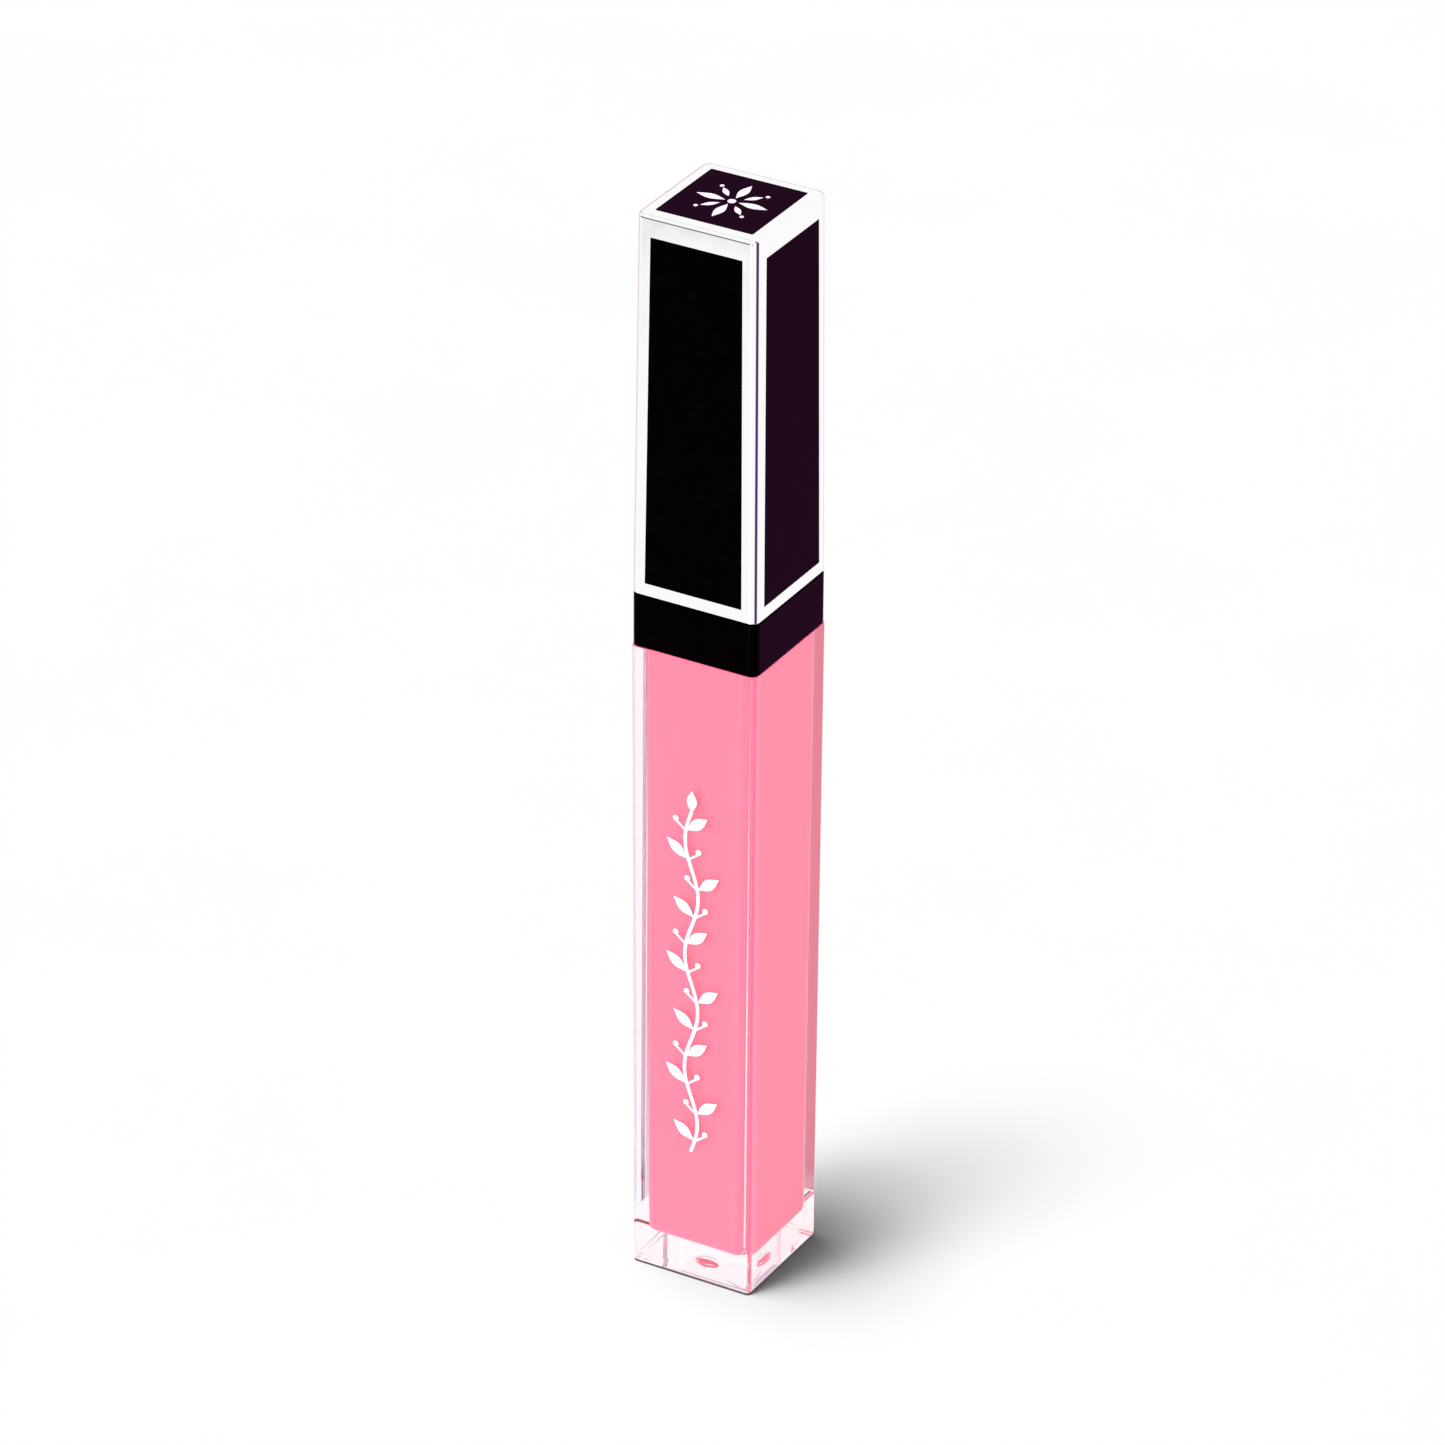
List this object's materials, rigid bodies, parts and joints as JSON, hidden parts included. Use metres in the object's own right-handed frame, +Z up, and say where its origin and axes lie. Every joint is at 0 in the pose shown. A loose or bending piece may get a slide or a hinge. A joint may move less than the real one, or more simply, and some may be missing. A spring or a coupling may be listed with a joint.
{
  "type": "lip gloss tube",
  "caption": "Slim square clear tube of pink gloss with a black collar and a tall bright cap with flush black panels that unscrews and lifts out a flocked wand.",
  "frame": {"origin": "centre of the bottle's square base, on the surface it stands on", "axes": "+Z up along the tube, -Y out of the front face, +X out of the right face"},
  "size_m": [0.014, 0.014, 0.117],
  "materials": {
    "clear_bottle": "clear polished PETG, thick walled",
    "pink_gloss": "opaque creamy pink gloss, wet",
    "black_collar": "polished black",
    "black_panels": "polished black lacquer",
    "bright_frame": "bright silver electroplate",
    "liner_plastic": "natural white polypropylene",
    "soft_plastic": "translucent soft polyethylene",
    "rod_plastic": "natural white moulded plastic",
    "foam": "fine closed-cell foam",
    "flock": "short nylon flock wetted by the gloss",
    "steel_weight": "plain turned steel"
  },
  "bodies": {
    "bottle": {"bottle": "clear_bottle", "gloss": "pink_gloss", "collar": "black_collar", "wiper": "soft_plastic"},
    "washer": {"seal_washer": "foam"},
    "cap": {"cap_frame": "bright_frame", "panel_front": "black_panels", "panel_right": "black_panels", "panel_back": "black_panels", "panel_left": "black_panels", "panel_top": "black_panels", "cap_liner": "liner_plastic", "cap_weight": "steel_weight", "wand_rod": "rod_plastic", "applicator_core": "rod_plastic", "applicator_flock": "flock"}
  },
  "joints": [
    {"name": "cap_lift", "type": "slide", "parent": "bottle", "child": "washer", "axis": [0, 0, 1], "range_m": [0, 0.085]},
    {"name": "cap_turn", "type": "hinge", "parent": "washer", "child": "cap", "pos_m": [0, 0, 0.085], "axis": [0, 0, 1], "range_deg": [0, 405]}
  ]
}
